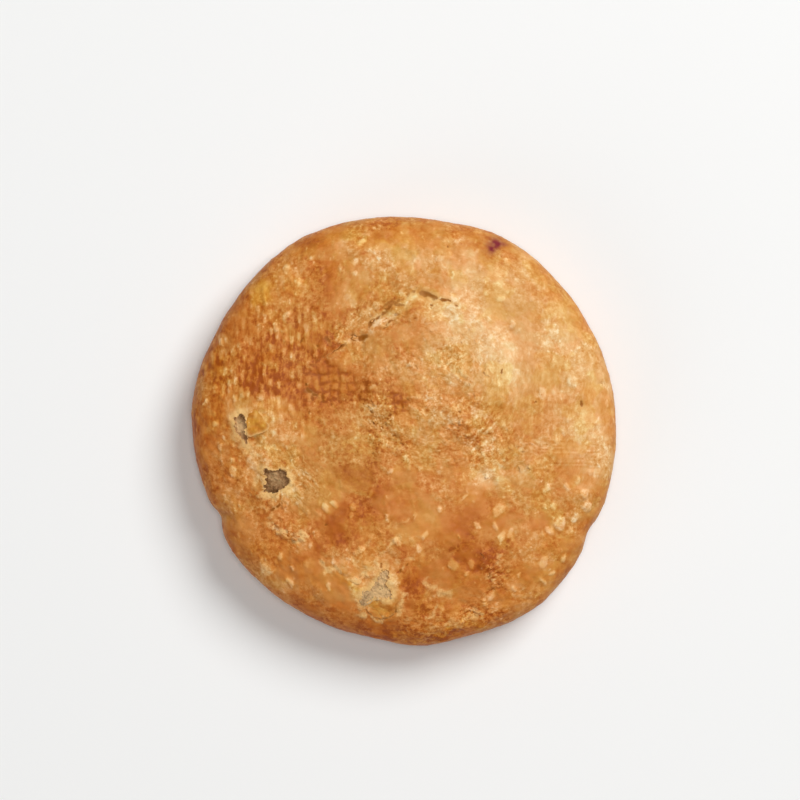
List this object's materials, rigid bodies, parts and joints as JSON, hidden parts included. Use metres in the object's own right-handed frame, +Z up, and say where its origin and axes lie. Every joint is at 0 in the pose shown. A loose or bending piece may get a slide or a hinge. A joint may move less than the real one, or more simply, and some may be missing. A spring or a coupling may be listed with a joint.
{
  "type": "kachori",
  "caption": "Round flat fried pastry with a pinched fold on its crown, blistered crust and a crumbly filling that shows through burst blisters.",
  "frame": {"origin": "on the plane that the pastry rests on, under the middle of its bounding box", "axes": "+Z up, through the crown; +Y towards the pinched fold; +X to the right of it, seen from above"},
  "size_m": [0.1004, 0.1012, 0.0229],
  "materials": {
    "fried_dough": "golden brown fried dough, slightly oily",
    "spiced_filling": "dry crumbly paste of ground lentils and spices"
  },
  "bodies": {
    "root": {"crust": "fried_dough", "filling": "spiced_filling"}
  },
  "joints": []
}
